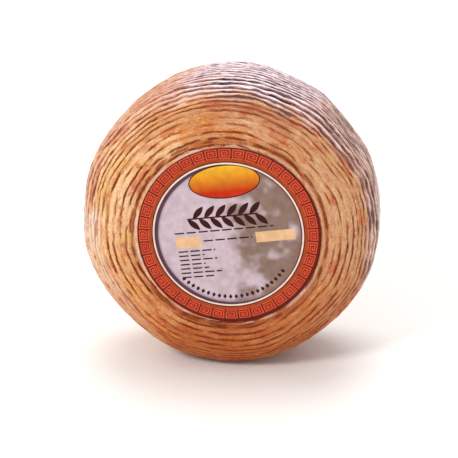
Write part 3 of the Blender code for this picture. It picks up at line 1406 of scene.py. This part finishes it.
@dataclass(frozen=True)
class PrintedPaper:
    """Smooth coated label paper, with ink that is slightly uneven and rubbed."""

    roughness: float = 0.45
    mottle: float = 5 * MM
    cloud: float = 16 * MM
    grain: float = 0.5 * MM
    relief: float = 0.05 * MM
    edge: float = 0.12 * MM
    outline: float = 0.75 * MM
    motif_ink: str = "3A1416"
    panel_ink: str = "E5B78C"
    oval_top: str = "EDB42C"
    oval_foot: str = "C42E0C"
    cloud_ink: str = "8A7064"
    shade_ink: str = "7A6874"
    aged_shade_ink: str = "8A6656"
    line_ink: str = "583848"
    # From left to right, where the clouds gather and where the field's dark line thins
    cloud_span: Pair = (-28 * MM, 22 * MM)
    line_span: Pair = (-30 * MM, 20 * MM)
    line_thinning: float = 2.4 * MM

    def material(
        self, ink: Ink, layout: LabelPrint, print_middle: Vector
    ) -> bpy.types.Material:
        """Build the material of one ink on the paper.

        Args:
            ink: The ink.
            layout: The print, whose motifs the artwork ink draws.
            print_middle: Where the print's middle is in the object.

        Returns:
            The material.
        """
        material, tree, shader = new_material("label_paper_" + ink.name.lower())
        place = add_node(tree, "ShaderNodeTexCoord").outputs["Object"]
        sizes = {"mottle": self.mottle, "grain": self.grain, "cloud": self.cloud}
        values = {
            name: add_node(tree, "ShaderNodeTexNoise", {"Vector": place, "Scale": 1 / size})
            for name, size in sizes.items()
        }
        work_out(tree, values, [("rubbed", Sum.RANGE, "mottle", 0.35, 0.65, 0.84)])
        colour: Any = ink.value
        if ink is Ink.ARTWORK:
            middle = {"Vector": place, "Location": print_middle, "Rotation": (0, -layout.roll, 0)}
            flat = add_node(tree, "ShaderNodeMapping", middle, vector_type="TEXTURE")
            colour = self.artwork(tree, values, flat, layout)
        both = {"Factor": 1.0, "A": colour, "B": values["rubbed"]}
        worn = add_node(tree, "ShaderNodeMix", both, data_type="RGBA", blend_type="MULTIPLY")
        bump = {"Strength": 0.3, "Distance": self.relief, "Height": values["grain"]}
        finish = {
            "Base Color": worn,
            "Roughness": self.roughness,
            "Specular IOR Level": 0.1,
            "Normal": add_node(tree, "ShaderNodeBump", bump),
        }
        plug(tree, shader, finish)
        return material

    def artwork(self, tree: Tree, values: Values, flat: Node, layout: LabelPrint) -> Node:
        """Add the colour of the middle field with its oval, panels, sprig and rules.

        Args:
            tree: Node tree that gets the nodes.
            values: The paper's noises by name.
            flat: Place about the print's middle, turned back level.
            layout: The print.

        Returns:
            The colour.
        """
        motifs = add_node(tree, "ShaderNodeAttribute", attribute_name="motifs").outputs["Vector"]
        for names, source in (
            (("across", "back", "up"), flat),
            (("motif", "oval", "panel"), motifs),
        ):
            parts = add_node(tree, "ShaderNodeSeparateXYZ", (source,))
            values.update(zip(names, parts.outputs))
        read = add_node(tree, "ShaderNodeAttribute", attribute_name="print_radius")
        values["radius"] = read.outputs["Fac"]
        level, tall = layout.oval[1], layout.oval[3]
        thinned = layout.line_inner + self.line_thinning
        steps = (
            ("fade", Sum.RANGE, "up", level - 0.6 * tall, level + 0.9 * tall),
            ("right", Sum.RANGE, "across", *self.cloud_span, 0.2),
            ("line", Sum.RANGE, "across", *self.line_span, layout.line_inner, thinned),
            ("cloudy", Sum.TIMES, "cloud", "right"),
        )
        work_out(tree, values, steps)
        ends = {"Factor": values["fade"], "A": self.oval_foot, "B": self.oval_top}
        values["sunset"] = add_node(tree, "ShaderNodeMix", ends, data_type="RGBA")
        aged = (Coat("right", 0.6, 1.0, self.aged_shade_ink),)
        values["shade"] = lay_coats(tree, values, self.shade_ink, aged)
        edge, inner = self.edge, -self.outline
        coats = (
            Coat("cloudy", 0.28, 0.5, self.cloud_ink),
            Coat("radius", layout.shade_inner, layout.field_edge, "shade"),
            Coat("radius", "line", layout.field_edge, self.line_ink, 3.0),
            Coat("panel", edge, -edge, self.panel_ink),
            Coat("motif", edge, -edge, self.motif_ink),
            Coat("oval", edge, -edge, Ink.MAROON.value),
            Coat("oval", inner + edge, inner - edge, "sunset"),
        )
        return lay_coats(tree, values, Ink.ARTWORK.value, coats)


@dataclass
class PaperLabel:
    """The round label: a thin disc that follows the face, printed in rings."""

    form: WheelForm = field(default_factory=WheelForm)
    print: LabelPrint = field(default_factory=LabelPrint)
    finish: PrintedPaper = field(default_factory=PrintedPaper)
    radius: float = 60 * MM
    right: float = 2.5 * MM
    rim_width: float = 1 * MM
    front_lift: float = 0.6 * MM
    back_lift: float = 0.1 * MM
    show_through: float = 0.06 * MM
    show_through_size: float = 7 * MM

    def build(self) -> bpy.types.Object:
        """Build the label, in the place of the plain one.

        The disc is turned flat with its back one millimetre behind its front, and its
        vertices are then settled on the cheese.

        Returns:
            The label.
        """
        layout = self.print
        radii = layout.radii()
        outer = layout.key_outer + self.rim_width
        profile = [(radius, 0.0) for radius in radii] + [(outer, 0.0), (outer, MM)]
        profile += [(radii[-1] / 2, MM), (0.0, MM)]
        mesh, mark = turned(profile, layout.steps)
        motif_layer = mesh.verts.layers.float_vector.new("motifs")
        radius_layer = mesh.verts.layers.float.new("print_radius")
        inks = list(Ink)
        for face in mesh.faces:
            middle = face.calc_center_median()
            angle = math.atan2(middle.z, middle.x) % (2 * math.pi)
            radius = math.hypot(middle.x, middle.z)
            ink = Ink.CREAM if middle.y > MM / 2 else layout.ink_at(radius, angle)
            face.material_index = inks.index(ink)
        distances = (layout.motif_distance, layout.oval_distance, layout.panel_distance)
        for corner in mesh.verts:
            across, up = corner.co.x, corner.co.z
            corner[radius_layer] = math.hypot(across, up)
            if corner.co.y == 0.0 and corner[radius_layer] <= layout.field_edge:
                corner[motif_layer] = Vector([distance(across, up) for distance in distances])
            self.settle(corner, profile[corner[mark]], outer)
        middle = self.form.middle + Vector((self.right + layout.shift[0], 0, layout.shift[1]))
        finishes = [self.finish.material(ink, layout, middle) for ink in inks]
        piece = finish_piece("paper_label", mesh, finishes)
        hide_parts("label")
        return piece

    def settle(self, corner: bmesh.types.BMVert, ring: Pair, outer: float) -> None:
        """Move a vertex of the flat disc to its place on the cheese's face.

        Args:
            corner: The vertex.
            ring: Radius and depth of its ring in the flat disc.
            outer: Radius of the flat disc.
        """
        layout = self.print
        angle = math.atan2(corner.co.z, corner.co.x) + layout.roll
        radius, back = ring
        if radius == outer:
            radius = self.cut_distance(angle)
        right = self.right + layout.shift[0] + radius * math.cos(angle)
        up = layout.shift[1] + radius * math.sin(angle)
        lift = self.back_lift if back > 0 else self.front_lift
        lift += self.show_through * noise.noise(Vector((right, 0, up)) / self.show_through_size)
        depth = self.form.front_depth(right, up) - lift
        corner.co = Vector((right, depth, up)) + self.form.middle

    def cut_distance(self, angle: float) -> float:
        """Distance from the print's middle to the label's cut edge.

        Args:
            angle: Direction from the print's middle.

        Returns:
            The distance.
        """
        off = Vector(self.print.shift)
        along = off.x * math.cos(angle) + off.y * math.sin(angle)
        return -along + math.sqrt(along * along + self.radius**2 - off.length_squared)


@dataclass
class Studio:
    """Pale floor, soft light and a camera at the photograph's angle."""

    form: WheelForm = field(default_factory=WheelForm)
    azimuth: float = 5.75
    elevation: float = 19.34
    distance: float = 1.0
    frame_pixels: float = 458.0
    pixels_per_metre: float = 1475.2
    aim_pixels: Pair = (-3.2, -16.5)
    sensor: float = 36.0
    floor_size: float = 24.0
    floor_colour: str = "FFFDFA"
    floor_roughness: float = 0.3
    daylight: float = 0.66
    # Name, strength, angle in degrees and place of each soft sun
    suns: tuple[tuple[str, float, float, tuple[float, float, float]], ...] = (
        ("key_light", 1.4, 15.0, (-0.5, -0.65, 0.75)),
        ("top_light", 1.5, 40.0, (0.0, 0.35, 1.15)),
    )

    def build(self) -> None:
        """Set up the floor, the lights, the world and the camera."""
        self.add_floor()
        self.add_lights()
        self.add_camera()
        bpy.context.scene.view_settings.view_transform = "Standard"

    def add_floor(self) -> None:
        """Add a wide pale floor."""
        mesh = bmesh.new()
        bmesh.ops.create_grid(mesh, x_segments=1, y_segments=1, size=self.floor_size / 2)
        data = bpy.data.meshes.new("studio_floor")
        mesh.to_mesh(data)
        mesh.free()
        material, tree, shader = new_material("pale_floor")
        finish = {"Base Color": self.floor_colour, "Roughness": self.floor_roughness}
        plug(tree, shader, finish)
        data.materials.append(material)
        floor = new_object("studio_floor", data)

    def add_lights(self) -> None:
        """Add white surroundings, a soft key from the upper left and a light from above."""
        world = bpy.data.worlds.new("soft_white_room")
        bpy.context.scene.world = world
        world.use_nodes = True
        background = world.node_tree.nodes["Background"]
        plug(world.node_tree, background, {"Color": "FFFFFF", "Strength": self.daylight})
        for name, strength, angle, place in self.suns:
            sun = bpy.data.lights.new(name, "SUN")
            sun.energy = strength
            sun.angle = math.radians(angle)
            lamp = new_object(name, sun)
            lamp.location = place
            aim = Vector(place) - self.form.middle
            lamp.rotation_euler = aim.to_track_quat("Z", "Y").to_euler()

    def add_camera(self) -> None:
        """Add the camera that frames the wheel as the photograph does."""
        turn, rise = math.radians(self.azimuth), math.radians(self.elevation)
        ahead = math.cos(rise)
        back = Vector((math.sin(turn) * ahead, -math.cos(turn) * ahead, math.sin(rise)))
        right = Vector((math.cos(turn), math.sin(turn), 0.0))
        up = back.cross(right)
        place = self.form.middle + back * self.distance
        across, along = (pixels / self.pixels_per_metre for pixels in self.aim_pixels)
        aim = self.form.middle + right * across + up * along
        lens = bpy.data.cameras.new("camera")
        lens.sensor_width = self.sensor
        view_width = self.frame_pixels / self.pixels_per_metre
        lens.lens = self.sensor * self.distance / view_width
        camera = new_object("camera", lens)
        camera.location = place
        camera.rotation_euler = (place - aim).to_track_quat("Z", "Y").to_euler()
        bpy.context.scene.camera = camera


def main() -> None:
    """Build the cheese, its label and the studio."""
    logging.basicConfig(level=logging.INFO)
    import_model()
    Studio().build()
    CheeseWheel().build()
    PaperLabel().build()


if __name__ == "__main__":
    main()
